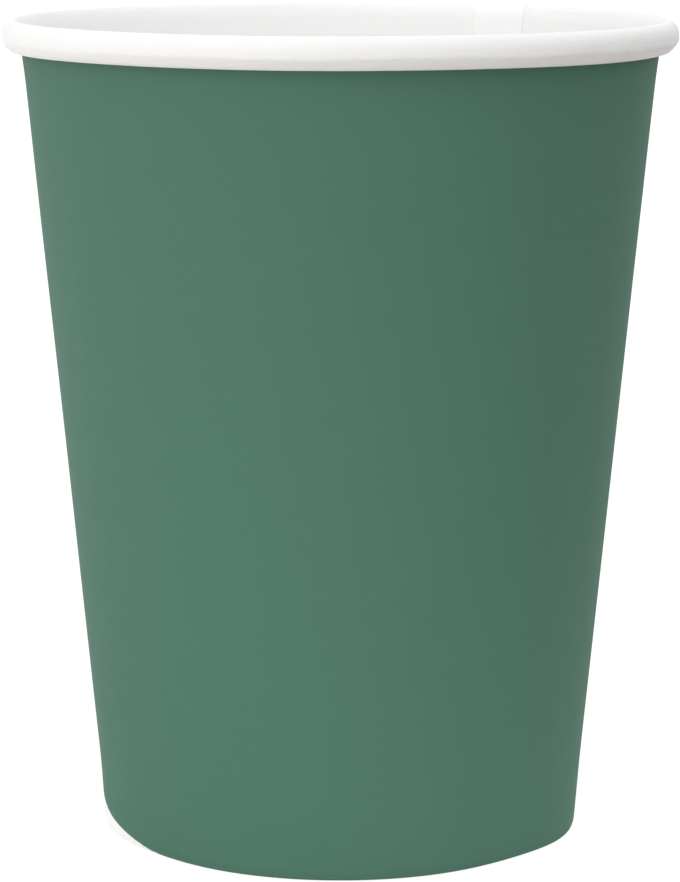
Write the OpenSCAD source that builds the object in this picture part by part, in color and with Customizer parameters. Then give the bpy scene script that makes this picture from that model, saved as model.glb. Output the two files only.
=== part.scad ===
/* [Cup] */
// Outside diameter of the rolled rim
rim_d = 78; // [74:0.5:84]
// Height of the whole cup
cup_h = 95; // [85:0.1:110]
// Outside diameter of the wall at the standing edge
base_d = 56.2; // [50:0.1:58]

/* [Paper] */
// Thickness of the wall's board
board_t = 0.33; // [0.26:0.01:0.36]
// Thickness of the bottom's board
disc_t = 0.3; // [0.2:0.01:0.36]

/* [Rolled rim] */
// Height of the roll
roll_h = 3.6; // [3.2:0.1:4.2]
// How far the roll stands out past the wall
roll_out = 2.3; // [2.2:0.05:2.6]
// How far the roll's highest line lies in from its outer side
crown_in = 1.4; // [1.3:0.05:1.5]
// Depth over which the wall's inner face rounds over into the roll
crown_h = 1; // [0.9:0.05:1.2]
// How far the wall is pushed outward where it enters the roll
throat_out = 0.3; // [0.2:0.05:0.35]
// Height of wall over which it bends out towards the roll
neck_h = 7; // [5:0.5:10]
// Half width of the sheet's tucked end inside the roll
tuck_w = 0.55; // [0.5:0.01:0.56]

/* [Bottom] */
// Height of the disc's upper face above the standing edge
floor_h = 7; // [6.6:0.1:12]
// Height of the folded hem above the standing edge
hem_h = 5.4; // [3:0.1:5.6]
// Radius where the disc turns down into its skirt
skirt_r = 0.9; // [0.6:0.05:1]
// Inner radius of the hem's fold
fold_r = 0.05; // [0.03:0.01:0.08]
// Clearance of the sealed skirt to the paper on either side of it
seal_gap = 0.02; // [0.01:0.01:0.05]

/* [Side seam] */
// Width of the lap at the rim
lap_w = 7.2; // [5:0.1:9]
// Length over which the outer layer comes down beside the inner layer's edge
ramp_w = 1.4; // [1:0.1:2.5]
// Direction of the inner layer's edge, counted from +X
seam_angle = 52; // [0:1:359]

/* [Hidden] */
$fn = 96;

// Height where the roll begins, and how the wall leans
roll_z = cup_h - roll_h;
slope = (rim_d / 2 - roll_out - base_d / 2) / roll_z;
lean = atan(slope);

// The roll's highest line, and the turn at which the neck runs into the roll
crown_r = rim_d / 2 - crown_in;
crown_start = 15;

// The sheet's end inside the roll: its turn up, its hook, and the turn at which it stops
tuck_h = 0.7;
hook_w = 0.5;
hook_h = 0.55;
hook_end = 430;

// The lap's second layer ends a little below the roll
lap_stop = 0.6;
lap_end_z = roll_z - lap_stop;

// Heights of the centre of the hem's fold and of the skirt's lower edge
fold_z = board_t + fold_r;
skirt_z = fold_z + seal_gap;

// Degrees from point to point in the roll, in its tucked end and in the hem's fold,
// and the number of parts in each half of the neck, in the disc's bend and in the seam's ramp
roll_step = 15;
tuck_step = 30;
fold_step = 30;
neck_parts = 3;
bend_parts = 6;
ramp_cuts = 4;

// Angle that a length takes up round the rim, to a hundredth of a degree
function rim_angle(length) = round(36000 * length / (PI * rim_d)) / 100;
lap_angle = rim_angle(lap_w);
ramp_cut_angle = rim_angle(ramp_w / ramp_cuts);
ramp_angle = ramp_cuts * ramp_cut_angle;

// Radius of the wall's inner face at height z, before the neck bends it out
function wall_in(z) = base_d / 2 - board_t / cos(lean) + z * slope;

// Radius of the hem's face against the skirt at height z
function hem_out(z) = wall_in(z) - (disc_t + 2 * seal_gap) / cos(lean);

// Radius of the skirt's outer face at height z
function skirt_out(z) = wall_in(z) - seal_gap / cos(lean);

// A point of the sheet's white face with its unit normal towards the printed face,
// and how much of a second layer lies on it in the lap, from 0 to 1
function face_point(r, z, nr, nz, share) =
    let (n = norm([nr, nz]))
    [r, z, nr / n, nz / n, share];

// Part of an ellipse that the sheet follows, with the printed face inside the curve;
// a turn of 0 is the inner side going up, 90 the top, 180 the outer side and 270 the bottom
function curl(r, z, half_w, half_h, from, to, step) =
    let (steps = ceil((to - from) / step))
    [for (i = [0:steps])
        let (a = from + (to - from) * i / steps)
        face_point(r - half_w * cos(a), z + half_h * sin(a), half_h * cos(a), -half_w * sin(a), 0)];

// A corner of the fold round its own centre, with the printed face outside the curve;
// the second layer is pressed flat where the cup stands on it
function fold(r, z, from, to) =
    let (steps = ceil((to - from) / fold_step))
    [for (i = [0:steps])
        let (a = from + (to - from) * i / steps)
        face_point(r + fold_r * cos(a), z + fold_r * sin(a), cos(a), sin(a),
            (1 - abs(sin(a))) / (1 - sin(lean)))];

// The neck: a cubic curve from the straight wall into the start of the roll
throat_r = wall_in(cup_h - crown_h) + throat_out;
crown_w = crown_r - throat_r;
neck_end = [crown_r - crown_w * cos(crown_start), cup_h - crown_h + crown_h * sin(crown_start)];
neck_end_slope = crown_w * sin(crown_start) / (crown_h * cos(crown_start));
neck_start_z = neck_end[1] - neck_h;

function neck_radius(t) =
    wall_in(neck_start_z) * (1 + t * t * (2 * t - 3))
    + slope * neck_h * t * (1 - t) * (1 - t)
    + neck_end[0] * t * t * (3 - 2 * t)
    + neck_end_slope * neck_h * t * t * (t - 1);

function neck_slope(t) =
    (wall_in(neck_start_z) * 6 * t * (t - 1)
    + slope * neck_h * (1 - t) * (1 - 3 * t)
    + neck_end[0] * 6 * t * (1 - t)
    + neck_end_slope * neck_h * t * (3 * t - 2)) / neck_h;

function neck_point(z) =
    let (t = (z - neck_start_z) / neck_h)
    face_point(neck_radius(t), z, 1, -neck_slope(t), z > lap_end_z ? 0 : 1);

neck = concat(
    [for (i = [0:neck_parts]) neck_point(neck_start_z + (lap_end_z - neck_start_z) * i / neck_parts)],
    [for (i = [0:neck_parts - 1]) neck_point(roll_z + (neck_end[1] - roll_z) * i / neck_parts)]);

// The fold at the standing edge, between the hem and the wall
hem_fold_r = hem_out(fold_z + fold_r * sin(lean)) + fold_r * cos(lean);
wall_fold_r = wall_in(fold_z - fold_r * sin(lean)) - fold_r * cos(lean);

hem = concat(
    [face_point(hem_out(hem_h), hem_h, -1, slope, 1)],
    fold(hem_fold_r, fold_z, 180 - lean, 270),
    fold(wall_fold_r, fold_z, 270, 360 - lean));

// The roll, from the crown round the outer side and back in to the tucked end
roll = concat(
    curl(crown_r, cup_h - crown_h, crown_w, crown_h, crown_start, 90 - roll_step, roll_step),
    curl(crown_r, roll_z + roll_h / 2, crown_in, roll_h / 2, 90, 270, roll_step),
    curl(crown_r, roll_z + tuck_h, tuck_w, tuck_h, 270 + tuck_step, 360, tuck_step),
    curl(crown_r - tuck_w + hook_w, roll_z + tuck_h, hook_w, hook_h, 360 + tuck_step, hook_end, tuck_step));

// The white face of the one sheet, from the hem's free edge to the end tucked into the roll
sheet = concat(hem, neck, roll);

function moved(p, d) = [p[0] + p[2] * d, p[1] + p[3] * d];

// The printed side and the white side of a layer that is lifted off by 0 to 1 layers
function printed_side(lift) = [for (p = sheet) moved(p, board_t * (1 + lift * p[4]))];
function white_side(lift) = [for (p = sheet) moved(p, lift * board_t * (1 + p[4]) / 2)];
function back_to_front(points) = [for (i = [len(points) - 1:-1:0]) points[i]];
function layer(outer_lift, inner_lift) = concat(printed_side(outer_lift), back_to_front(white_side(inner_lift)));

module turned(outer_lift, inner_lift, from, span) {
    rotate_extrude(angle = span, start = from)
        polygon(layer(outer_lift, inner_lift));
}

// The outer layer comes down to the wall in fine steps, each a part of a layer lower
module seam_ramp() {
    for (i = [0:ramp_cuts - 1]) {
        lift = (i + 1) / (ramp_cuts + 1);
        turned(lift, lift, seam_angle - (ramp_cuts - i) * ramp_cut_angle, ramp_cut_angle);
    }
}

module side_wall() {
    color("seagreen") {
        turned(0, 0, seam_angle + lap_angle, 360 - lap_angle - ramp_angle);
        turned(1, 0, seam_angle, lap_angle);
        seam_ramp();
    }
}

module bottom_disc() {
    turn_z = floor_h - skirt_r;
    turn_r = skirt_out(turn_z - skirt_r * sin(lean)) - skirt_r * cos(lean);
    bend = [for (i = [0:bend_parts])
        let (a = 90 - (90 + lean) * i / bend_parts)
        face_point(turn_r + skirt_r * cos(a), turn_z + skirt_r * sin(a), -cos(a), -sin(a), 0)];
    face = concat(
        [face_point(0, floor_h, 0, -1, 0)],
        bend,
        [face_point(skirt_out(skirt_z), skirt_z, -1, slope, 0)]);
    color("white")
        rotate_extrude()
            polygon(concat([for (p = face) moved(p, 0)], back_to_front([for (p = face) moved(p, disc_t)])));
}

side_wall();
bottom_disc();
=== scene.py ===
import math
from collections import namedtuple

import bpy
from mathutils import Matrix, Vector, noise


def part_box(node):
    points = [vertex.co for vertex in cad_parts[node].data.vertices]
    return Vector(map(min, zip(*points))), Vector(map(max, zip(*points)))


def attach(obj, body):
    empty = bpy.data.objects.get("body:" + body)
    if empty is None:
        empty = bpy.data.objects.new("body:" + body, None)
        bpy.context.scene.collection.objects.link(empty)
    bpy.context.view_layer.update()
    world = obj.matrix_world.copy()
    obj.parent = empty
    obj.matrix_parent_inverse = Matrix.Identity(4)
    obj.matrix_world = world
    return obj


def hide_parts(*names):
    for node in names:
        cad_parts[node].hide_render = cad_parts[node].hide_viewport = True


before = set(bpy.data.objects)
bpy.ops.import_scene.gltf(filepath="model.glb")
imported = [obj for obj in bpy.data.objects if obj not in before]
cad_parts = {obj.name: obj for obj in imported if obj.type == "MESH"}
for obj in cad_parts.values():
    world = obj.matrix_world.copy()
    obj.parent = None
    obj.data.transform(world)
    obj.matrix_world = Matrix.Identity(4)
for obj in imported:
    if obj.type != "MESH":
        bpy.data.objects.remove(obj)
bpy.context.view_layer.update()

# Sizes of the cup, in metres. Its radius at the rim, its height and its floor are read from the
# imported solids.
MM = 0.001
wall_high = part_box("side_wall")[1]
floor_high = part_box("bottom_disc")[1]
RIM_R = wall_high.x
CUP_H = wall_high.z
FLOOR_H = floor_high.z
BASE_R = 28.1 * MM
BOARD = 0.33 * MM
FLOOR_BOARD = 0.3 * MM

# The rolled rim: the roll, the crown where the wall rounds over into it, the neck that bends out
# towards it, and the sheet's end tucked inside with its hook. Places along the roll are degrees of
# its turn: 0 is its inner side, 90 the top, 180 the outer side and 270 the bottom.
ROLL_H = 3.6 * MM
ROLL_OUT = 2.3 * MM
CROWN_IN = 1.4 * MM
CROWN_H = 1.0 * MM
CROWN_START = 15
THROAT_OUT = 0.3 * MM
NECK_H = 7.0 * MM
TUCK_W = 0.55 * MM
TUCK_H = 0.7 * MM
HOOK_W = 0.5 * MM
HOOK_H = 0.55 * MM
HOOK_END = 430

# The hem at the standing edge and the floor's skirt in it
HEM_H = 5.4 * MM
FOLD_R = 0.05 * MM
SKIRT_R = 0.9 * MM
SEAL_GAP = 0.02 * MM

# The side seam, in degrees round the cup from +X: the inner layer's edge, the lap, and where the
# outer layer comes down
SEAM_ANGLE = 52
LAP_ANGLE = 10.58
RAMP_ANGLE = 2.05

# How far the outer layer lies off the inner one in the lap, at the foot and in the roll, and where
# below the roll and over which height it comes closer
LAP_LIFT = 0.34 * MM
FOOT_LIFT = 0.02 * MM
ROLL_LIFT = 0.12 * MM
LAP_CLOSES_BELOW = 0.9 * MM
LAP_CLOSES_OVER = 1.5 * MM

# How fine the sheets are: steps round the cup and rows of each part of the section. In the roll
# they are the first turn, the last one and the number of rows, closest where the crease lies.
WALL_STEPS = 384
FLOOR_STEPS = 192
HEM_ROWS = 6
FOLD_ROWS = 3
FOOT_ROWS = 9
WALL_ROWS = 20
NECK_ROWS = 16
CROWN_ROWS = 8
ROLL_ROWS = ((90, 185, 16), (187.5, 210, 9), (215, 270, 9))
TUCK_ROWS = (285, 360, 5)
HOOK_ROWS = (380, HOOK_END, 3)
FLOOR_RINGS = 14
BEND_ROWS = 8
SKIRT_ROWS = 6

# Points this close become one, and an edge that turns by fewer degrees is shaded smooth
MERGE_WITHIN = 0.002 * MM
SMOOTH_BELOW = 38

# Where the foot departs from a true circle, in degrees from the front to the left: the middle of
# each place, how wide it is and how far the paper stands out there, or in where it is less than 0
FOOT_SHAPE = ((71, 14, 0.46 * MM), (47, 14, -0.18 * MM), (-65, 13, 0.58 * MM), (-42, 14, -0.20 * MM))
FOOT_SHAPE_H = 8.5 * MM

# The unprinted margin at the foot, in mm and in degrees from the front to the left: its greatest
# height, where it is highest and how far it reaches to each side
MARGIN_H = 5.7
MARGIN_AT = 112
MARGIN_REACH = 75

# The print goes on a little past the fold, in mm, and ends inside the roll at this turn. Past it the
# board is as bare as this many mm below the print.
PRINT_PAST_FOLD = 0.2
PRINT_END = 120
UNPRINTED = -1.0

ROLL_Z = CUP_H - ROLL_H
SLOPE = (RIM_R - ROLL_OUT - BASE_R) / ROLL_Z
LEAN = math.atan(SLOPE)
CROWN_R = RIM_R - CROWN_IN


# Profiles

class Spot:
    """A point of a sheet's white face in section: place, direction to the other face, part and turn."""

    def __init__(self, r, z, nr, nz, part, turn=0.0):
        length = math.hypot(nr, nz)
        self.r, self.z, self.nr, self.nz = r, z, nr / length, nz / length
        self.part, self.turn = part, turn


def spread(first, last, count):
    """Evenly spread values from the first to the last, count steps apart."""
    return [first + (last - first) * i / count for i in range(count + 1)]


def wall_in(z):
    """Radius of the wall's inner face at height z, before the neck bends it out."""
    return BASE_R - BOARD / math.cos(LEAN) + z * SLOPE


def hem_out(z):
    """Radius of the hem's face against the skirt at height z."""
    return wall_in(z) - (FLOOR_BOARD + 2 * SEAL_GAP) / math.cos(LEAN)


def skirt_out(z):
    """Radius of the skirt's outer face at height z."""
    return wall_in(z) - SEAL_GAP / math.cos(LEAN)


def fold_spots(r, z, part, first, last):
    """A corner of the fold at the standing edge, round its own centre."""
    spots = []
    for degrees in spread(first, last, FOLD_ROWS):
        a = math.radians(degrees)
        spots.append(Spot(r + FOLD_R * math.cos(a), z + FOLD_R * math.sin(a),
                          math.cos(a), math.sin(a), part, degrees))
    return spots


def curl_spots(r, z, half_w, half_h, first, last, count):
    """Part of an ellipse in the roll, from one turn to another."""
    spots = []
    for degrees in spread(first, last, count):
        a = math.radians(degrees)
        spots.append(Spot(r - half_w * math.cos(a), z + half_h * math.sin(a),
                          half_h * math.cos(a), -half_w * math.sin(a), "roll", degrees))
    return spots


def hem_spots():
    """The hem's free edge, down to the fold and up again to the wall."""
    fold_z = BOARD + FOLD_R
    lean = math.degrees(LEAN)
    hem_r = hem_out(fold_z + FOLD_R * math.sin(LEAN)) + FOLD_R * math.cos(LEAN)
    wall_r = wall_in(fold_z - FOLD_R * math.sin(LEAN)) - FOLD_R * math.cos(LEAN)
    hem = [Spot(hem_out(z), z, -1, SLOPE, "hem") for z in spread(HEM_H, fold_z, HEM_ROWS)[:-1]]
    return (hem + fold_spots(hem_r, fold_z, "fold_in", 180 - lean, 270)
            + fold_spots(wall_r, fold_z, "fold_out", 270, 360 - lean))


def wall_spots():
    """The straight wall, then the neck: a cubic curve from it into the start of the roll."""
    crown_w = CROWN_R - wall_in(CUP_H - CROWN_H) - THROAT_OUT
    start = math.radians(CROWN_START)
    end_r = CROWN_R - crown_w * math.cos(start)
    end_z = CUP_H - CROWN_H + CROWN_H * math.sin(start)
    end_slope = crown_w * math.tan(start) / CROWN_H
    begin_z = end_z - NECK_H
    begin_r = wall_in(begin_z)
    foot = spread(BOARD + FOLD_R, FOOT_SHAPE_H, FOOT_ROWS)
    straight = spread(FOOT_SHAPE_H, begin_z, WALL_ROWS)
    spots = [Spot(wall_in(z), z, 1, -SLOPE, "wall") for z in foot[1:] + straight[1:-1]]
    for t in spread(0, 1, NECK_ROWS):
        r = (begin_r * (1 + t * t * (2 * t - 3)) + SLOPE * NECK_H * t * (1 - t) ** 2
             + end_r * t * t * (3 - 2 * t) + end_slope * NECK_H * t * t * (t - 1))
        slope = (begin_r * 6 * t * (t - 1) + SLOPE * NECK_H * (1 - t) * (1 - 3 * t)
                 + end_r * 6 * t * (1 - t) + end_slope * NECK_H * t * (3 * t - 2)) / NECK_H
        spots.append(Spot(r, begin_z + NECK_H * t, 1, -slope, "neck"))
    crown = curl_spots(CROWN_R, CUP_H - CROWN_H, crown_w, CROWN_H, CROWN_START, 90, CROWN_ROWS)
    return spots + crown[1:-1]


def roll_spots():
    """From the crown round the roll's outer side and back in to the tucked end."""
    spots = []
    for rows in ROLL_ROWS:
        spots += curl_spots(CROWN_R, ROLL_Z + ROLL_H / 2, CROWN_IN, ROLL_H / 2, *rows)
    spots += curl_spots(CROWN_R, ROLL_Z + TUCK_H, TUCK_W, TUCK_H, *TUCK_ROWS)
    return spots + curl_spots(CROWN_R - TUCK_W + HOOK_W, ROLL_Z + TUCK_H, HOOK_W, HOOK_H, *HOOK_ROWS)


def floor_spots():
    """The floor's upper face from the centre out, its bend, and its skirt down into the hem."""
    bend_z = FLOOR_H - SKIRT_R
    bend_r = skirt_out(bend_z - SKIRT_R * math.sin(LEAN)) - SKIRT_R * math.cos(LEAN)
    spots = [Spot(r, FLOOR_H, 0, -1, "floor") for r in spread(0, bend_r, FLOOR_RINGS)[:-1]]
    for degrees in spread(90, -math.degrees(LEAN), BEND_ROWS):
        a = math.radians(degrees)
        spots.append(Spot(bend_r + SKIRT_R * math.cos(a), bend_z + SKIRT_R * math.sin(a),
                          -math.cos(a), -math.sin(a), "bend"))
    low = BOARD + FOLD_R + SEAL_GAP
    return spots + [Spot(skirt_out(z), z, -1, SLOPE, "skirt") for z in spread(bend_z, low, SKIRT_ROWS)[1:]]


# Sheets made in edit mode

def select_only(piece):
    """Leaves edit mode and selects nothing but the piece, or nothing at all."""
    if bpy.context.object and bpy.context.object.mode != "OBJECT":
        bpy.ops.object.mode_set(mode="OBJECT")
    bpy.ops.object.select_all(action="DESELECT")
    if piece:
        piece.select_set(True)
        bpy.context.view_layer.objects.active = piece


def edit_all(operator, **settings):
    """Runs an operator of edit mode on the whole of the active piece."""
    bpy.ops.object.mode_set(mode="EDIT")
    bpy.ops.mesh.select_all(action="SELECT")
    operator(**settings)
    bpy.ops.object.mode_set(mode="OBJECT")


def drawn_outline(name, points):
    """A chain of edges through the points: a ring of as many points, opened between its ends."""
    select_only(None)
    bpy.ops.mesh.primitive_circle_add(vertices=len(points), radius=MM, location=(0, 0, 0))
    piece = bpy.context.object
    piece.name = piece.data.name = name
    bpy.ops.object.mode_set(mode="EDIT")
    bpy.ops.mesh.select_all(action="DESELECT")
    bpy.ops.object.mode_set(mode="OBJECT")
    for vertex, point in zip(piece.data.vertices, points):
        vertex.co = point
        vertex.select = vertex.index in (0, len(points) - 1)
    bpy.ops.object.mode_set(mode="EDIT")
    bpy.ops.mesh.delete(type="EDGE")
    bpy.ops.object.mode_set(mode="OBJECT")
    return piece


def spun_sheet(name, spots, start, angle, steps):
    """The section drawn in the direction start, then turned about the cup's axis into a sheet."""
    a = math.radians(start)
    piece = drawn_outline(name, [Vector((s.r * math.cos(a), s.r * math.sin(a), s.z)) for s in spots])
    edit_all(bpy.ops.mesh.spin, steps=steps, angle=math.radians(angle), center=(0, 0, 0), axis=(0, 0, -1))
    return piece


def turn_over(piece):
    """Makes the sheet's faces look the other way."""
    select_only(piece)
    edit_all(bpy.ops.mesh.flip_normals)


def thickened(piece, board, materials):
    """Gives the sheet its board, and its near face, far face and cut edges a material each."""
    for material in materials:
        piece.data.materials.append(material)
    select_only(piece)
    board_mod = piece.modifiers.new("board", "SOLIDIFY")
    board_mod.thickness = board
    board_mod.offset = -1
    board_mod.use_quality_normals = True
    board_mod.material_offset = 1
    board_mod.material_offset_rim = 2
    bpy.ops.object.modifier_apply(modifier=board_mod.name)
    bpy.ops.object.shade_smooth_by_angle(angle=math.radians(SMOOTH_BELOW))


# How values rise and wave

# Brings the noise to between about -1 and 1
NOISE_SIZE = 1.6

# The direction of the cup's front, in degrees from +X
FRONT = -90


def share(value, begin, over):
    """How much of the way over has been gone since begin, from 0 to 1."""
    return min(max((value - begin) / over, 0.0), 1.0)


def risen(value, begin, over):
    """The same with a soft start and end."""
    t = share(value, begin, over)
    return t * t * (3 - 2 * t)


def hump(x, centre, width):
    """A smooth hump of height 1."""
    return math.exp(-((x - centre) / width) ** 2)


def uneven(degrees, *waves):
    """Smooth random waves that close round the cup, each given as its size, its count and a seed."""
    a = math.radians(degrees)
    total = 0.0
    for size, count, seed in waves:
        reach = count / (2 * math.pi)
        total += size * NOISE_SIZE * noise.noise(Vector((reach * math.cos(a), reach * math.sin(a), seed)))
    return total


def turned_from(degrees, begin):
    """Degrees round the cup from begin, the shorter way, between -180 and 180."""
    return (degrees - begin + 180) % 360 - 180


def front_turn(degrees):
    """Degrees round the cup from its front at -Y, growing towards its left at -X."""
    return turned_from(FRONT, degrees)


# How the paper departs from a true cone. A rise is given as where it begins and over how much it goes.

# The faint step inside the cup where the lap's outer layer ends behind the inner one: its depth,
# its width in degrees, and over how many degrees it grows from nothing at the raw edge
STEP_DEPTH = 0.05 * MM
STEP_WIDTH = 1.0
STEP_GROWS = 8

# The inner layer's raw edge stands a little proud, over so many degrees
EDGE_PROUD = 0.02 * MM
EDGE_WIDTH = 1.6

# The roll's waves, and how much thicker it is at the seam, with that place's width in laps
ROLL_WAVES = (0.04 * MM, 9, 1.3)
ROLL_WAVES_RISE = (60, 90)
SEAM_THICKER = 0.06 * MM
SEAM_THICKER_W = 0.62
SEAM_THICKER_RISE = (95, 60)

# The crease under the roll's outer side: its turn and its waves, the turn at which the flat below
# it ends, the flat's depth, and the ridge above the crease with its width in degrees of turn
CREASE_AT = 199
CREASE_WAVES = ((4.0, 26, 5.1), (1.5, 70, 8.2))
CREASE_END = 252
CREASE_FLAT = 0.11 * MM
CREASE_RIDGE = 0.02 * MM
CREASE_RIDGE_W = 8

# The crease is clear round most of the cup and faint at its left: where, in degrees from the front,
# how clear it is there, and its rise to clear, in degrees away from there
CREASE_FAINT_AT = 80
CREASE_FAINTEST = 0.35
CREASE_CLEARS = (15, 40)

# The slant pressed into the rim's inner side: how far below the top its wavy line lies, the height
# over which it goes out and how far, where along the roll it fades, and the bulge below the line
SLANT_H = 1.45 * MM
SLANT_WAVES = ((0.22 * MM, 14, 6.6), (0.09 * MM, 45, 1.9))
SLANT_RISE_H = 0.8 * MM
SLANT_OUT = 0.11 * MM
SLANT_FADE = (38, 50)
BULGE_IN = 0.015 * MM
BULGE_BELOW = 0.25 * MM
BULGE_H = 0.3 * MM

# The rim is a little out of round and not quite level, over so much of the wall below the roll
RIM_ROUND_WAVES = (0.05 * MM, 3, 2.7)
RIM_DROP = 0.07 * MM
RIM_LEVEL_WAVES = (0.07 * MM, 7, 4.4)
RIM_WAVES_H = 12 * MM

# The swells of the wall's middle: their size, the height over which they grow above the foot, the
# height that counts as much as a radius round the cup, and how fine they are
SWELL = 0.05 * MM
SWELL_GROWS_H = 12 * MM
SWELL_DRAWN_H = 45 * MM
SWELL_FINE = 1.5

# The floor is dished inside its edge: how deep and how unevenly, over which length at the edge, how
# long the unevenness is, and how near its height a point belongs to its flat face. Out from a
# share of its radius it follows the foot's shape.
DISH = 0.12 * MM
DISH_UNEVEN = 0.06 * MM
DISH_EDGE = 4 * MM
DISH_LENGTH = 14 * MM
FLAT_WITHIN = 0.01 * MM
FLOOR_FOLLOWS = 0.8


def second_layer(spot):
    """How far the lap's outer layer lies off the inner one at this point of the section."""
    if spot.part in ("fold_in", "fold_out"):
        upright = (1 - abs(math.sin(math.radians(spot.turn)))) / (1 - math.sin(LEAN))
        return FOOT_LIFT + (LAP_LIFT - FOOT_LIFT) * upright
    if spot.part == "roll":
        return ROLL_LIFT
    closer = risen(spot.z, ROLL_Z - LAP_CLOSES_BELOW, LAP_CLOSES_OVER)
    return ROLL_LIFT + (LAP_LIFT - ROLL_LIFT) * (1 - closer)


def lap_move(spot, degrees):
    """Where the seam takes the sheet: the outer layer up, and the inner one out of its way at the foot."""
    past_edge = degrees - (SEAM_ANGLE + 360)
    lift = second_layer(spot) * risen(past_edge, -RAMP_ANGLE, RAMP_ANGLE)
    if spot.part in ("fold_in", "fold_out"):
        at_start = 1 - risen(abs(past_edge + 360 - LAP_ANGLE / 2), 0, LAP_ANGLE)
        at_end = risen(past_edge, -LAP_ANGLE, LAP_ANGLE)
        lift -= FOOT_LIFT * min(at_start + at_end, 1)
    return lift


def crease_turn(degrees):
    """The turn of the roll at which its uneven crease lies at this place round the cup."""
    return CREASE_AT + uneven(degrees, *CREASE_WAVES)


def crease_strength(degrees):
    """How clear the crease is at this place round the cup, up to 1."""
    off = abs(turned_from(front_turn(degrees), CREASE_FAINT_AT))
    return CREASE_FAINTEST + (1 - CREASE_FAINTEST) * risen(off, *CREASE_CLEARS)


def roll_move(spot, degrees):
    """The roll's small waves, the crease and the flat below its outer side, and the thicker seam."""
    out = uneven(degrees, ROLL_WAVES) * risen(spot.turn, *ROLL_WAVES_RISE)
    crease_at = crease_turn(degrees)
    strength = crease_strength(degrees)
    if spot.turn <= CREASE_END:
        under = share(spot.turn, crease_at, CREASE_END - crease_at)
        out -= strength * CREASE_FLAT * 4 * under * (1 - under)
    out += strength * CREASE_RIDGE * hump(spot.turn, crease_at - CREASE_RIDGE_W, CREASE_RIDGE_W)
    from_seam = turned_from(degrees, SEAM_ANGLE + LAP_ANGLE / 2)
    at_seam = hump(from_seam, 0, LAP_ANGLE * SEAM_THICKER_W)
    return out + SEAM_THICKER * at_seam * risen(spot.turn, *SEAM_THICKER_RISE)


def crown_move(spot, degrees):
    """The rim's inner side is pressed to a slant from a wavy line a little below the top."""
    line = CUP_H - SLANT_H + uneven(degrees, *SLANT_WAVES)
    slant = SLANT_OUT * share(spot.z, line, SLANT_RISE_H)
    bulge = BULGE_IN * hump(spot.z, line - BULGE_BELOW, BULGE_H)
    return (slant - bulge) * (1 - risen(spot.turn, *SLANT_FADE))


def step_move(degrees):
    """How far the lap stands into the cup, up to the step at the end of its outer layer."""
    on_lap = 1 - risen(degrees, SEAM_ANGLE + LAP_ANGLE - STEP_WIDTH / 2, STEP_WIDTH)
    return STEP_DEPTH * on_lap * risen(degrees, SEAM_ANGLE, STEP_GROWS)


def edge_move(degrees):
    """How far the inner layer's raw edge stands into the cup."""
    return EDGE_PROUD * (1 - risen(degrees, SEAM_ANGLE, EDGE_WIDTH))


def foot_move(z, degrees):
    """How far the foot's paper stands out from a true circle."""
    turn = front_turn(degrees)
    out_of_round = sum(out * hump(turn, middle, width) for middle, width, out in FOOT_SHAPE)
    return out_of_round * (1 - risen(z, 0, FOOT_SHAPE_H))


def swell_move(spot, degrees):
    """The long swells of the wall's middle."""
    a = math.radians(degrees)
    place = Vector((math.cos(a), math.sin(a), spot.z / SWELL_DRAWN_H)) * SWELL_FINE
    return SWELL * risen(spot.z, 0, SWELL_GROWS_H) * noise.noise(place)


def shaped_place(spot, degrees):
    """The point of the white face at this turn round the cup, with everything that the paper does there."""
    off = lap_move(spot, degrees)
    if spot.part == "roll":
        off -= roll_move(spot, degrees)
    r, z = spot.r + spot.nr * off, spot.z + spot.nz * off
    high = risen(spot.z, ROLL_Z - RIM_WAVES_H, RIM_WAVES_H)
    r += high * uneven(degrees, RIM_ROUND_WAVES) + foot_move(spot.z, degrees)
    z -= high * (RIM_DROP + uneven(degrees, RIM_LEVEL_WAVES))
    if spot.part in ("neck", "roll"):
        r += crown_move(spot, degrees)
    if spot.part in ("wall", "neck"):
        r -= edge_move(degrees) + step_move(degrees)
    if spot.part == "wall":
        r += (1 - high) * swell_move(spot, degrees)
    a = math.radians(degrees)
    return r * math.cos(a), r * math.sin(a), z


def floor_place(place, edge):
    """A point of the floor moved out with the foot's shape, and down where it lies inside the edge."""
    x, y, z = place
    r = math.hypot(x, y)
    if r > 0:
        degrees = math.degrees(math.atan2(y, x))
        out = foot_move(z, degrees) * risen(r / edge, FLOOR_FOLLOWS, 1 - FLOOR_FOLLOWS) / r
        x, y = x + x * out, y + y * out
    if z > FLOOR_H - FLAT_WITHIN:
        depth = DISH + DISH_UNEVEN * noise.noise(Vector((x, y, z)) / DISH_LENGTH)
        z -= depth * risen(edge - r, 0, DISH_EDGE)
    return x, y, z


# What the materials read from the wall's sheet

# All patterns are in decimetres, round the rim and along the section or in space
PER_METRE = 10

# The roll is painted darker from its top out, a painted shade, and again below its crease, a warmer painted
# shade: where each begins and over how much
RIM_SHADE_RISE = (35, 50)
UNDER_SHADE_RISE = (-6, 20)


def margin_height(degrees):
    """Height of the unprinted margin at this place round the cup, in mm."""
    off = abs(turned_from(front_turn(degrees), MARGIN_AT))
    return MARGIN_H * math.cos(math.pi / 2 * min(off / MARGIN_REACH, 1)) ** 2


def printed_height(spot, degrees):
    """Millimetres from the lower edge of the print, less than 0 where the board is bare."""
    if spot.part == "roll" and spot.turn > PRINT_END:
        return UNPRINTED
    height = (spot.z + spot.nz * BOARD) / MM
    if spot.part in ("hem", "fold_in"):
        height = -height
    return height - margin_height(degrees) + PRINT_PAST_FOLD


def rim_shade_share(spot):
    """How far a point lies round the roll's top, from 0 to 1: how much painted shade darkens it there."""
    return risen(spot.turn, *RIM_SHADE_RISE) if spot.part == "roll" else 0.0


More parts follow.
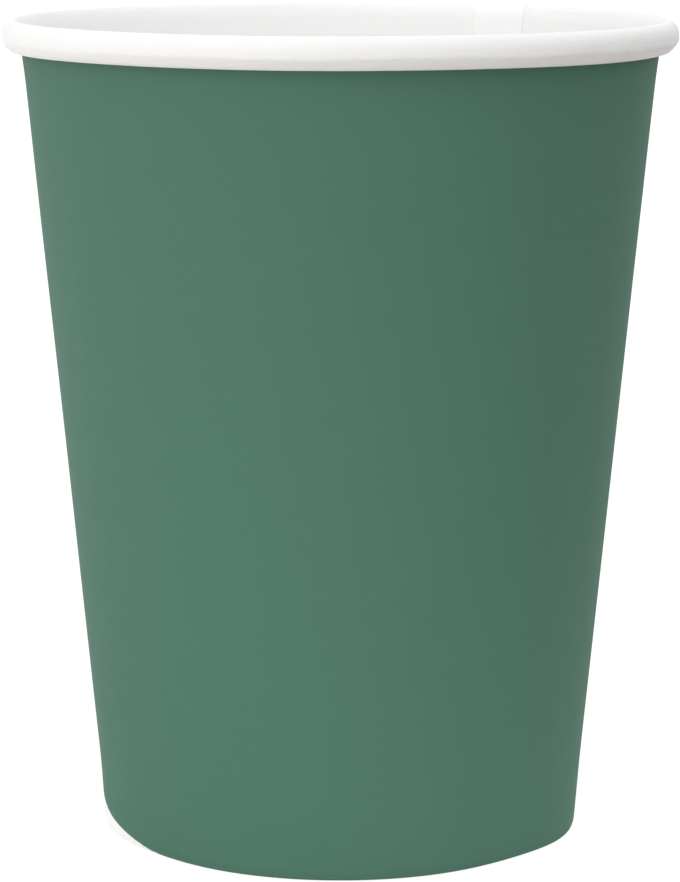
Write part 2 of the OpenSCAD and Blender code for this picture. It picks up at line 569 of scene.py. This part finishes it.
def under_shade_share(spot, degrees):
    """How far a point lies below the crease, from 0 to as much as the crease is clear there: how much of
    the painted shade below the crease it takes.
    """
    if spot.part != "roll":
        return 0.0
    return risen(spot.turn - crease_turn(degrees), *UNDER_SHADE_RISE) * crease_strength(degrees)


def lengths_along(spots):
    """The section's length from its first point to each point."""
    lengths = [0.0]
    for here, there in zip(spots, spots[1:]):
        lengths.append(lengths[-1] + math.hypot(there.r - here.r, there.z - here.z))
    return lengths


def sheet_map(piece, spots, angle, steps):
    """The sheet's own UV map, round the rim and along the section."""
    along = lengths_along(spots)
    layer = piece.data.uv_layers.new(name="sheet")
    per_step = math.radians(angle) * RIM_R / steps
    for loop in piece.data.loops:
        step, i = divmod(loop.vertex_index, len(spots))
        layer.data[loop.index].uv = (step * per_step * PER_METRE, along[i] * PER_METRE)


def marked(piece, name, values):
    """Gives each point of the sheet a value that the materials read."""
    mark = piece.data.attributes.new(name, "FLOAT", "POINT")
    mark.data.foreach_set("value", values)


# The two pieces

def cup_wall():
    """The one blank of the cup: hem, wall and rolled rim, lapped at the side seam."""
    spots = hem_spots() + wall_spots() + roll_spots()
    angle = 360 + LAP_ANGLE
    piece = spun_sheet("cup_wall", spots, SEAM_ANGLE, angle, WALL_STEPS)
    places, heights, rim_shades, under_shades = [], [], [], []
    for degrees in spread(SEAM_ANGLE, SEAM_ANGLE + angle, WALL_STEPS):
        for spot in spots:
            places += shaped_place(spot, degrees)
            heights.append(printed_height(spot, degrees))
            rim_shades.append(rim_shade_share(spot))
            under_shades.append(under_shade_share(spot, degrees))
    piece.data.vertices.foreach_set("co", places)
    piece.data.update()
    sheet_map(piece, spots, angle, WALL_STEPS)
    marked(piece, "print_height", heights)
    # Painted shade on the roll: darker from its top out, and darker and warmer below its crease
    marked(piece, "rim", rim_shades)
    marked(piece, "roll_under", under_shades)
    middle = [f for f in piece.data.polygons if CUP_H / 3 < f.center.z < CUP_H * 2 / 3]
    looks_out = sum(f.normal.x * f.center.x + f.normal.y * f.center.y for f in middle) > 0
    if looks_out:
        turn_over(piece)
    thickened(piece, BOARD, (white_lining(), green_print(), raw_edge()))
    for vertex in piece.data.vertices:
        vertex.co.z = max(vertex.co.z, 0.0)
    return piece


def cup_floor():
    """The round blank of the bottom, with its skirt turned down into the hem."""
    spots = floor_spots()
    piece = spun_sheet("cup_bottom", spots, 0, 360, FLOOR_STEPS)
    edit_all(bpy.ops.mesh.remove_doubles, threshold=MERGE_WITHIN)
    edge = spots[FLOOR_RINGS - 1].r
    for vertex in piece.data.vertices:
        vertex.co = floor_place(vertex.co, edge)
    piece.data.update()
    looks_down = sum(f.normal.z * f.area for f in piece.data.polygons) < 0
    if looks_down:
        turn_over(piece)
    thickened(piece, FLOOR_BOARD, (floor_lining(), bare_board(), raw_edge()))
    return piece


# Materials

class Graph:
    """Short ways to place and join nodes in a material, a group or the world."""

    def __init__(self, tree):
        self.tree = tree
        self.at = 0

    def add(self, kind, **settings):
        node = self.tree.nodes.new(kind)
        node.location = (self.at * 190, -140 * (self.at % 4))
        self.at += 1
        for name, value in settings.items():
            setattr(node, name, value)
        return node

    def put(self, value, socket):
        if isinstance(value, bpy.types.NodeSocket):
            self.tree.links.new(value, socket)
        else:
            socket.default_value = value

    def counted(self, operation, first, second):
        node = self.add("ShaderNodeMath", operation=operation)
        self.put(first, node.inputs[0])
        self.put(second, node.inputs[1])
        return node.outputs[0]

    def plus(self, first, second):
        return self.counted("ADD", first, second)

    def minus(self, first, second):
        return self.counted("SUBTRACT", first, second)

    def times(self, first, second):
        return self.counted("MULTIPLY", first, second)

    def larger(self, first, second):
        return self.counted("MAXIMUM", first, second)

    def swing(self, pattern, size):
        """A pattern round 0.5 made one round 0, of the given size."""
        return self.times(self.minus(pattern, 0.5), size)

    def scaled(self, vector, scale):
        node = self.add("ShaderNodeVectorMath", operation="MULTIPLY")
        self.put(vector, node.inputs[0])
        node.inputs[1].default_value = scale
        return node.outputs[0]

    def part(self, vector, axis):
        node = self.add("ShaderNodeSeparateXYZ")
        self.put(vector, node.inputs[0])
        return node.outputs[axis]

    def mark(self, name):
        """A value that the sheet's points carry."""
        return self.add("ShaderNodeAttribute", attribute_name=name).outputs["Fac"]

    def noise(self, vector, scale, detail, roughness):
        node = self.add("ShaderNodeTexNoise")
        self.put(vector, node.inputs["Vector"])
        node.inputs["Scale"].default_value = scale
        node.inputs["Detail"].default_value = detail
        node.inputs["Roughness"].default_value = roughness
        return node.outputs["Fac"]

    def mapped(self, value, low, high, to_low, to_high, smooth=False):
        node = self.add("ShaderNodeMapRange", interpolation_type="SMOOTHSTEP" if smooth else "LINEAR")
        for socket, number in zip(node.inputs, (value, low, high, to_low, to_high)):
            self.put(number, socket)
        return node.outputs[0]

    def mixed(self, amount, first, second):
        node = self.add("ShaderNodeMix", data_type="RGBA")
        self.put(amount, node.inputs[0])
        self.put(first, node.inputs[6])
        self.put(second, node.inputs[7])
        return node.outputs[2]

    def tinted(self, color, factor):
        """A colour made lighter or darker by a value."""
        node = self.add("ShaderNodeVectorMath", operation="SCALE")
        self.put(color[:3] if isinstance(color, tuple) else color, node.inputs[0])
        self.put(factor, node.inputs["Scale"])
        return node.outputs[0]

    def bump(self, height, distance):
        node = self.add("ShaderNodeBump")
        self.put(height, node.inputs["Height"])
        node.inputs["Distance"].default_value = distance
        return node.outputs["Normal"]


WHITE = (0.925, 0.924, 0.920, 1)
BARE = (0.850, 0.838, 0.812, 1)
GREEN = (0.071, 0.174, 0.1225, 1)
# Painted shade, darker and warmer, for the roll's underside below its crease
UNDER_ROLL_SHADE = (0.905, 0.868, 0.850, 1)
MARGIN = (0.972, 0.970, 0.975, 1)
# The cut edge is painted lighter than the board, to lift the shade in the seam's groove
CUT_PAINTED_LIGHT = (0.945, 0.938, 0.925, 1)

# Surfaces of paper: how much their clouds and fibres change the colour, the roughness at the low
# and the high places of their pattern, their shine and the depth of their relief
Finish = namedtuple("Finish", "clouds fibres rough shine relief")
INK = Finish(0.05, 0.05, (0.82, 0.70), 0.3, 0.03 * MM)
LINING = Finish(0.02, 0.012, (0.42, 0.50), 0.4, 0.12 * MM)
UNLINED = Finish(0.06, 0.06, (0.95, 0.85), 0.2, 0.04 * MM)
CUT_FACE = Finish(0.08, 0.12, (0.98, 0.88), 0.2, 0.05 * MM)

# Noise patterns: scale, detail and roughness. Nearly all of a pattern lies within its reach.
CLOUDS = (30.0, 4.0, 0.6)
FIBRES = (1.0, 3.0, 0.65)
RAGGED_EDGE = (180.0, 3.0, 0.6)
INK_CLOUDS = (2.2, 2.0, 0.5)
WALL_LINING_WAVES = (22.0, 2.0, 0.45)
FLOOR_LINING_WAVES = (18.0, 2.0, 0.45)
CRUMPLES = (110.0, 3.0, 0.6)
SPECKS = (420.0, 2.0, 0.6)
NOISE_REACH = (0.3, 0.7)
SPECK_REACH = (0.35, 0.65)

# How much of the board's height comes from its fibres, and the rest from its clouds
FIBRES_SHARE = 0.8

# How the patterns are drawn out, as their scale in each direction
FIBRES_ALONG = (520.0, 130.0, 300.0)
FIBRES_ACROSS = (110.0, 460.0, 260.0)
WAVES_DRAWN = (1.0, 1.4, 1.0)
CRUMPLES_DRAWN = (1.0, 2.0, 1.0)

# The print: how far its edge is ragged and how soft it is, in mm, how much the ink's clouds change
# its colour, and how much painted light makes it lighter at the foot and painted shade darker at this
# height in mm
RAGGED_BY = 0.22
PRINT_SOFT = 0.06
INK_CLOUDS_TONE = 0.04
FOOT_PAINTED_LIGHT = 1.05
TOP_PAINTED_SHADE = 0.97
TOP_PAINTED_SHADE_AT = 90.0

# The white lining: how much lighter the lap is and how much painted shade darkens the roll, where the lap's
# second layer ends in the sheet's map and how soft that line is, and what the relief takes from each
# pattern
LAP_LIGHTER = 0.03
RIM_PAINTED_SHADE = 0.065
LAP_U = math.radians(LAP_ANGLE) * RIM_R * PER_METRE
LAP_LINE_U = 0.003
FIBRES_RELIEF = 0.08
LAP_RELIEF = 0.2
CREASE_CRUMPLED = 4.0
RIM_CRUMPLED = 0.5

# How dark and how light the specks make a cut edge
SPECK_TONES = (0.94, 1.04)


def new_group(name, inputs, outputs):
    """A shader node group with named inputs and outputs, given as (name, kind, value) and (name, kind)."""
    group = bpy.data.node_groups.new(name, "ShaderNodeTree")
    for label, kind, value in inputs:
        socket = group.interface.new_socket(name=label, in_out="INPUT", socket_type=kind)
        if value is not None:
            socket.default_value = value
    for label, kind in outputs:
        group.interface.new_socket(name=label, in_out="OUTPUT", socket_type=kind)
    graph = Graph(group)
    return group, graph, graph.add("NodeGroupInput").outputs, graph.add("NodeGroupOutput").inputs


def paper_fibres():
    """Cloudy board with short fibres: a tone round 1 and a height from 0 to 1."""
    name = "paper fibres"
    if name in bpy.data.node_groups:
        return bpy.data.node_groups[name]
    group, g, given, wanted = new_group(
        name,
        [("Place", "NodeSocketVector", None), ("Clouds", "NodeSocketFloat", 0.02),
         ("Fibres", "NodeSocketFloat", 0.02)],
        [("Tone", "NodeSocketFloat"), ("Height", "NodeSocketFloat")])
    clouds = g.noise(given["Place"], *CLOUDS)
    along = g.noise(g.scaled(given["Place"], FIBRES_ALONG), *FIBRES)
    across = g.noise(g.scaled(given["Place"], FIBRES_ACROSS), *FIBRES)
    fibres = g.times(g.plus(along, across), 0.5)
    tone = g.plus(g.swing(clouds, given["Clouds"]), g.swing(fibres, given["Fibres"]))
    g.put(g.plus(tone, 1.0), wanted["Tone"])
    height = g.plus(g.times(fibres, FIBRES_SHARE), g.times(clouds, 1 - FIBRES_SHARE))
    g.put(height, wanted["Height"])
    return group


def new_material(name, slot_color):
    material = bpy.data.materials.new(name)
    material.use_nodes = True
    material.diffuse_color = slot_color
    return material, Graph(material.node_tree), material.node_tree.nodes["Principled BSDF"]


def placed_fibres(graph, place, finish):
    """The paper's fibres in a material, as a tone and a height."""
    node = graph.add("ShaderNodeGroup", node_tree=paper_fibres())
    graph.put(place, node.inputs["Place"])
    node.inputs["Clouds"].default_value = finish.clouds
    node.inputs["Fibres"].default_value = finish.fibres
    return node.outputs["Tone"], node.outputs["Height"]


def finished(graph, shader, finish, color, pattern, relief):
    """Gives the shader its colour, a roughness that follows the pattern, its shine and its relief."""
    graph.put(color, shader.inputs["Base Color"])
    graph.put(graph.mapped(pattern, *NOISE_REACH, *finish.rough), shader.inputs["Roughness"])
    shader.inputs["Specular IOR Level"].default_value = finish.shine
    graph.put(graph.bump(relief, finish.relief), shader.inputs["Normal"])


def sheet_place(graph):
    return graph.add("ShaderNodeUVMap", uv_map="sheet").outputs["UV"]


def object_place(graph):
    place = graph.add("ShaderNodeTexCoord").outputs["Object"]
    return graph.scaled(place, (PER_METRE, PER_METRE, PER_METRE))


def green_print():
    """Matt green ink on the board, with the bare board where the print stops."""
    material, g, shader = new_material("green_print", GREEN)
    place = sheet_place(g)
    tone, height = placed_fibres(g, place, INK)
    ink_height = g.mark("print_height")
    ragged = g.swing(g.noise(place, *RAGGED_EDGE), RAGGED_BY)
    ink = g.mapped(g.plus(ink_height, ragged), -PRINT_SOFT, PRINT_SOFT, 0.0, 1.0, smooth=True)
    ink_clouds_and_light = g.plus(g.swing(g.noise(place, *INK_CLOUDS), INK_CLOUDS_TONE), 1.0)
    # Painted light and shade: the green is made lighter towards the foot and darker towards the top
    ink_clouds_and_light = g.times(ink_clouds_and_light, g.mapped(ink_height, 0.0, TOP_PAINTED_SHADE_AT, FOOT_PAINTED_LIGHT, TOP_PAINTED_SHADE))
    color = g.mixed(ink, MARGIN, g.tinted(GREEN, ink_clouds_and_light))
    finished(g, shader, INK, g.tinted(color, tone), height, height)
    return material


def white_lining():
    """The smooth white inside and roll, a little lighter where the lap doubles the board, with painted
    shade on the roll from its top out and a warmer painted shade below its crease.
    """
    material, g, shader = new_material("white_lining", WHITE)
    place = sheet_place(g)
    tone, height = placed_fibres(g, place, LINING)
    lap = g.mapped(g.part(place, "X"), LAP_U, LAP_U + LAP_LINE_U, 1.0, 0.0, smooth=True)
    rim = g.mark("rim")
    under = g.mark("roll_under")
    # The lap is a little lighter, and painted shade darkens the roll from its top out
    lighter = g.minus(g.plus(g.times(lap, LAP_LIGHTER), tone), g.times(rim, RIM_PAINTED_SHADE))
    # Painted shade below the roll's crease, darker and warmer than the white
    color = g.tinted(g.mixed(under, WHITE, UNDER_ROLL_SHADE), lighter)
    waves = g.noise(g.scaled(place, WAVES_DRAWN), *WALL_LINING_WAVES)
    at_crease = g.times(under, g.minus(1.0, under))
    crumpled = g.plus(g.times(at_crease, CREASE_CRUMPLED), g.times(rim, RIM_CRUMPLED))
    crumples = g.swing(g.noise(g.scaled(place, CRUMPLES_DRAWN), *CRUMPLES), crumpled)
    relief = g.plus(g.plus(waves, g.times(height, FIBRES_RELIEF)), g.times(lap, LAP_RELIEF))
    finished(g, shader, LINING, color, waves, g.plus(relief, crumples))
    return material


def floor_lining():
    """The smooth white upper face of the floor."""
    material, g, shader = new_material("floor_lining", WHITE)
    place = object_place(g)
    tone, height = placed_fibres(g, place, LINING)
    waves = g.noise(place, *FLOOR_LINING_WAVES)
    finished(g, shader, LINING, g.tinted(WHITE, tone), waves, g.plus(waves, g.times(height, FIBRES_RELIEF)))
    return material


def bare_board():
    """The unlined underside of the floor."""
    material, g, shader = new_material("bare_board", BARE)
    tone, height = placed_fibres(g, object_place(g), UNLINED)
    finished(g, shader, UNLINED, g.tinted(BARE, tone), height, height)
    return material


def raw_edge():
    """A cut edge of the board, fibrous, its colour painted lighter than the board's to lift the shade in
    the seam's groove.
    """
    name = "raw_edge"
    if name in bpy.data.materials:
        return bpy.data.materials[name]
    material, g, shader = new_material(name, CUT_PAINTED_LIGHT)
    place = object_place(g)
    tone, height = placed_fibres(g, place, CUT_FACE)
    specks = g.mapped(g.noise(place, *SPECKS), *SPECK_REACH, *SPECK_TONES)
    finished(g, shader, CUT_FACE, g.tinted(CUT_PAINTED_LIGHT, g.times(tone, specks)), height, height)
    return material


# The studio

# The floor lies a hair below the cup, so that the two never share a plane
FLOOR_BELOW = 0.02 * MM
FLOOR_SIZE = 6

# What the floor looks like to the camera, and what it throws back onto the cup: lit at the left and
# in front, shaded at the right, with the change between these two places
FLOOR_GLOW = 0.86
FLOOR_SEEN = (0.24, 0.24, 0.24, 1)
FLOOR_LIT = (0.94, 0.925, 0.91, 1)
FLOOR_SHADED = (0.17, 0.165, 0.16, 1)
FLOOR_SHADE_X = (-0.02, 0.18)

# The light round the cup: the sky, the ground and a darker place low at the right, with the heights
# and the directions between which they change
SKY = (0.965, 0.965, 0.965, 1)
GROUND = (0.965, 0.955, 0.945, 1)
DARK_SIDE = (0.60, 0.60, 0.60, 1)
BACKDROP = (1, 1, 1, 1)
SKY_Z = (-0.3, 0.5)
DARK_SIDE_X = (0.1, 0.8)
DARK_SIDE_Z = (0.12, 0.5)

# Round lamps: name, place, what they are aimed at, size and power
LAMPS = (("key", (-0.80, -0.95, 1.0), (0, 0, 0.05), 0.9, 2.4),
         ("front_top", (-0.15, -0.75, 1.25), (0, 0, 0.09), 1.2, 1.9),
         ("top", (0.50, -0.12, 1.25), (0, 0, 0.09), 1.2, 1.35))

CAMERA_BACK = 378.9 * MM
CAMERA_UP = 114.9 * MM
CAMERA_SIDE = -0.05 * MM
CAMERA_DOWN = 10.428
CAMERA_LENS = 132.8
CAMERA_SENSOR = 36


def looked_at(graph):
    """1 where the camera looks, also by way of a gloss or something clear, and 0 for all other light."""
    path = graph.add("ShaderNodeLightPath").outputs
    seen = graph.larger(path["Is Camera Ray"], path["Is Glossy Ray"])
    return graph.larger(seen, path["Is Transmission Ray"])


def studio_white():
    """White to the camera, apart from the cup's shadow, and to the cup a paper painted lit at the left and
    in front and painted shaded at the right.
    """
    material = bpy.data.materials.new("studio_white")
    material.use_nodes = True
    g = Graph(material.node_tree)
    g.tree.nodes.remove(g.tree.nodes["Principled BSDF"])
    place = g.add("ShaderNodeTexCoord").outputs["Object"]
    shade = g.mapped(g.part(place, "X"), *FLOOR_SHADE_X, 0.0, 1.0, smooth=True)
    plain = g.add("ShaderNodeBsdfDiffuse")
    g.put(g.mixed(shade, FLOOR_LIT, FLOOR_SHADED), plain.inputs["Color"])
    seen = g.add("ShaderNodeBsdfDiffuse")
    seen.inputs["Color"].default_value = FLOOR_SEEN
    glow = g.add("ShaderNodeEmission")
    glow.inputs["Strength"].default_value = FLOOR_GLOW
    both = g.add("ShaderNodeAddShader")
    g.put(seen.outputs[0], both.inputs[0])
    g.put(glow.outputs[0], both.inputs[1])
    mix = g.add("ShaderNodeMixShader")
    g.put(looked_at(g), mix.inputs[0])
    g.put(plain.outputs[0], mix.inputs[1])
    g.put(both.outputs[0], mix.inputs[2])
    g.put(mix.outputs[0], g.tree.nodes["Material Output"].inputs["Surface"])
    return material


def studio_floor():
    select_only(None)
    bpy.ops.mesh.primitive_plane_add(size=FLOOR_SIZE, location=(0, 0, -FLOOR_BELOW))
    piece = bpy.context.object
    piece.name = "studio_floor"
    piece.data.materials.append(studio_white())


def studio_world():
    """White where the camera looks, and an even soft light for the cup."""
    world = bpy.data.worlds.new("studio")
    world.use_nodes = True
    bpy.context.scene.world = world
    g = Graph(world.node_tree)
    g.tree.nodes.clear()
    towards = g.add("ShaderNodeTexCoord").outputs["Generated"]
    above = g.mapped(g.part(towards, "Z"), *SKY_Z, 0.0, 1.0, smooth=True)
    right = g.mapped(g.part(towards, "X"), *DARK_SIDE_X, 0.0, 1.0, smooth=True)
    low = g.mapped(g.part(towards, "Z"), *DARK_SIDE_Z, 1.0, 0.0, smooth=True)
    soft = g.mixed(g.times(right, low), g.mixed(above, GROUND, SKY), DARK_SIDE)
    back = g.add("ShaderNodeBackground")
    g.put(g.mixed(looked_at(g), soft, BACKDROP), back.inputs["Color"])
    g.put(back.outputs[0], g.add("ShaderNodeOutputWorld").inputs["Surface"])


def soft_lamp(name, place, aim, size, power):
    data = bpy.data.lights.new(name, "AREA")
    data.shape = "DISK"
    data.size = size
    data.energy = power
    lamp = bpy.data.objects.new(name, data)
    bpy.context.scene.collection.objects.link(lamp)
    lamp.location = place
    lamp.rotation_euler = (Vector(aim) - Vector(place)).to_track_quat("-Z", "Y").to_euler()


def studio_camera():
    data = bpy.data.cameras.new("camera")
    data.lens = CAMERA_LENS
    data.sensor_width = CAMERA_SENSOR
    camera = bpy.data.objects.new("camera", data)
    bpy.context.scene.collection.objects.link(camera)
    camera.location = (CAMERA_SIDE, -CAMERA_BACK, CAMERA_UP)
    camera.rotation_euler = (math.radians(90 - CAMERA_DOWN), 0, 0)
    bpy.context.scene.camera = camera


# The scene

wall = cup_wall()
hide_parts("side_wall")
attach(wall, "root")

floor = cup_floor()
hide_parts("bottom_disc")
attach(floor, "root")

studio_floor()
studio_world()
for lamp in LAMPS:
    soft_lamp(*lamp)
studio_camera()
bpy.context.scene.view_settings.view_transform = "Standard"
